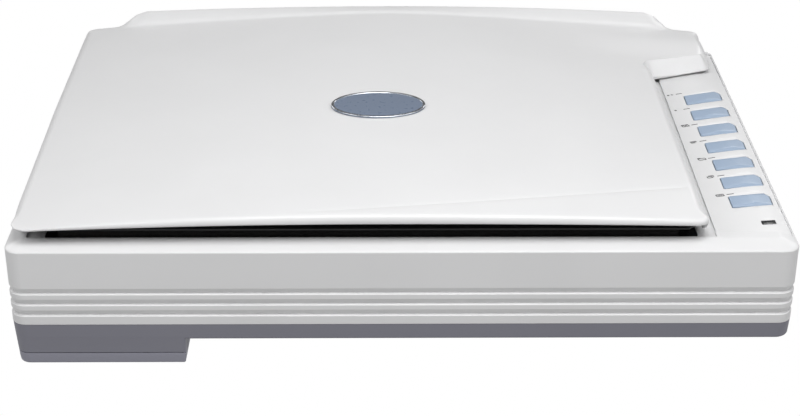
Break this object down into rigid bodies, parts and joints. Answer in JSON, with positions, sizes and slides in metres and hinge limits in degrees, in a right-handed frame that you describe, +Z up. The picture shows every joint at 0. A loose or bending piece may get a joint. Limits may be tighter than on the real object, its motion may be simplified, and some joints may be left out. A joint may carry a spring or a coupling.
{
  "type": "flatbed scanner",
  "caption": "Desktop flatbed scanner for large originals: shallow two-tone housing, glass platen, lifting hinged lid, side keys and a belt-driven scan carriage.",
  "frame": {"origin": "on the table, under the middle of the body's bounding box", "axes": "+X to the key panel on the right, +Y to the hinges at the back, +Z up"},
  "size_m": [0.58, 0.4, 0.1381],
  "materials": {
    "body_light": "fine-textured light grey-white ABS",
    "body_grey": "textured mid-grey ABS",
    "foot_grey": "textured grey ABS",
    "rubber_black": "soft black rubber",
    "bezel_black": "gloss black",
    "glass": "clear float glass",
    "white_strip": "white calibration film",
    "key_blue": "satin light blue keycap",
    "window_black": "smoked black window",
    "board_green": "green solder mask",
    "switch_grey": "dark moulded",
    "steel": "bright steel",
    "rod_steel": "ground and polished rod",
    "socket_steel": "stamped shell",
    "black_moulded": "black moulded",
    "motor_can": "zinc-plated can",
    "pinion_brass": "turned brass",
    "gear_white": "white acetal",
    "belt_black": "black toothed rubber",
    "carriage_black": "black glass-filled plastic",
    "bush_bronze": "sintered bronze",
    "pad_white": "white acetal",
    "lamp_white": "white lamp tube",
    "reflector": "bright reflector",
    "mirror": "front-silvered glass",
    "cable_white": "flat white cable",
    "lock_blue": "light blue slider",
    "lid_light": "fine-textured light grey-white ABS",
    "lid_inner": "black moulded",
    "foam": "light grey foam",
    "mat_white": "white backing sheet",
    "badge": "slate blue plate with a pale rim",
    "hinge_plastic": "white moulded",
    "leg_grey": "grey acetal"
  },
  "bodies": {
    "base": {"lower_housing": "body_grey", "foot_cover": "foot_grey", "rubber_feet": "rubber_black", "upper_housing": "body_light", "glass_bezel": "bezel_black", "platen_glass": "glass", "calibration_strip": "white_strip", "button_panel": "body_light", "button_board": "board_green", "tact_switches": "switch_grey", "status_window": "window_black", "main_board": "board_green", "usb_port": "socket_steel", "dc_jack": "black_moulded", "power_switch_frame": "black_moulded", "guide_rod": "rod_steel", "rod_clamps": "body_grey", "slide_rails": "steel", "drive_motor": "motor_can", "motor_bracket": "steel", "pulley_axles": "steel", "tension_bracket": "steel", "tension_spring": "steel", "drive_belt": "belt_black", "ribbon_cable": "cable_white", "home_sensor": "black_moulded", "housing_screws": "steel", "bracket_screws": "steel"},
    "lid_supports": {"hinge_legs": "leg_grey", "hinge_pins": "steel", "hinge_springs": "steel"},
    "lid": {"lid_shell": "lid_light", "lid_inner_panel": "lid_inner", "foam_pad": "foam", "document_mat": "mat_white", "badge": "badge", "hinge_arms": "hinge_plastic", "lid_screws": "steel"},
    "carriage": {"carriage_housing": "carriage_black", "carriage_cover": "carriage_black", "carriage_bushes": "bush_bronze", "slider_pads": "pad_white", "lamp_tube": "lamp_white", "lamp_reflector": "reflector", "fold_mirrors": "mirror", "lens_barrel": "black_moulded", "sensor_board": "board_green", "belt_clamp": "black_moulded"},
    "drive_gear": {"drive_gear": "gear_white"},
    "idler_pulley": {"idler_pulley": "gear_white"},
    "motor_pinion": {"motor_pinion": "pinion_brass"},
    "transport_lock": {"transport_lock": "lock_blue"},
    "power_rocker": {"power_rocker": "black_moulded"},
    "key_scan": {"key_scan": "key_blue"},
    "key_copy": {"key_copy": "key_blue"},
    "key_file": {"key_file": "key_blue"},
    "key_text": {"key_text": "key_blue"},
    "key_mail": {"key_mail": "key_blue"},
    "key_custom_a": {"key_custom_a": "key_blue"},
    "key_custom_b": {"key_custom_b": "key_blue"}
  },
  "joints": [
    {"name": "hinge_lift", "type": "slide", "parent": "base", "child": "lid_supports", "axis": [0, 0, 1], "range_m": [0, 0.02]},
    {"name": "lid_open", "type": "hinge", "parent": "lid_supports", "child": "lid", "pos_m": [0, 0.188, 0.104], "axis": [-1, 0, 0], "range_deg": [0, 80]},
    {"name": "carriage_slide", "type": "slide", "parent": "base", "child": "carriage", "axis": [1, 0, 0], "range_m": [0, 0.44], "deforming": ["ribbon_cable"]},
    {"name": "gear_spin", "type": "hinge", "parent": "base", "child": "drive_gear", "pos_m": [-0.262, -0.024, 0.035], "axis": [0, 0, 1], "continuous": true},
    {"name": "idler_spin", "type": "hinge", "parent": "base", "child": "idler_pulley", "pos_m": [0.228, -0.024, 0.044], "axis": [0, 0, 1], "continuous": true},
    {"name": "pinion_spin", "type": "hinge", "parent": "base", "child": "motor_pinion", "pos_m": [-0.262, -0.048, 0.032], "axis": [0, 0, 1], "continuous": true},
    {"name": "lock_slide", "type": "slide", "parent": "base", "child": "transport_lock", "axis": [0, 1, 0], "range_m": [0, 0.006]},
    {"name": "power_rock", "type": "hinge", "parent": "base", "child": "power_rocker", "pos_m": [0.222, 0.194, 0.056], "axis": [0, 0, 1], "range_deg": [0, 16]},
    {"name": "press_scan", "type": "slide", "parent": "base", "child": "key_scan", "axis": [0, 0, -1], "range_m": [0, 0.0012], "stiffness_N_per_m": 400},
    {"name": "press_copy", "type": "slide", "parent": "base", "child": "key_copy", "axis": [0, 0, -1], "range_m": [0, 0.0012], "stiffness_N_per_m": 400},
    {"name": "press_file", "type": "slide", "parent": "base", "child": "key_file", "axis": [0, 0, -1], "range_m": [0, 0.0012], "stiffness_N_per_m": 400},
    {"name": "press_text", "type": "slide", "parent": "base", "child": "key_text", "axis": [0, 0, -1], "range_m": [0, 0.0012], "stiffness_N_per_m": 400},
    {"name": "press_mail", "type": "slide", "parent": "base", "child": "key_mail", "axis": [0, 0, -1], "range_m": [0, 0.0012], "stiffness_N_per_m": 400},
    {"name": "press_custom_a", "type": "slide", "parent": "base", "child": "key_custom_a", "axis": [0, 0, -1], "range_m": [0, 0.0012], "stiffness_N_per_m": 400},
    {"name": "press_custom_b", "type": "slide", "parent": "base", "child": "key_custom_b", "axis": [0, 0, -1], "range_m": [0, 0.0012], "stiffness_N_per_m": 400}
  ],
  "couplings": [
    {"joint": "gear_spin", "follows": "carriage_slide", "rad_per_m": -116.28},
    {"joint": "idler_spin", "follows": "carriage_slide", "rad_per_m": -116.28},
    {"joint": "pinion_spin", "follows": "carriage_slide", "rad_per_m": 465.12}
  ]
}
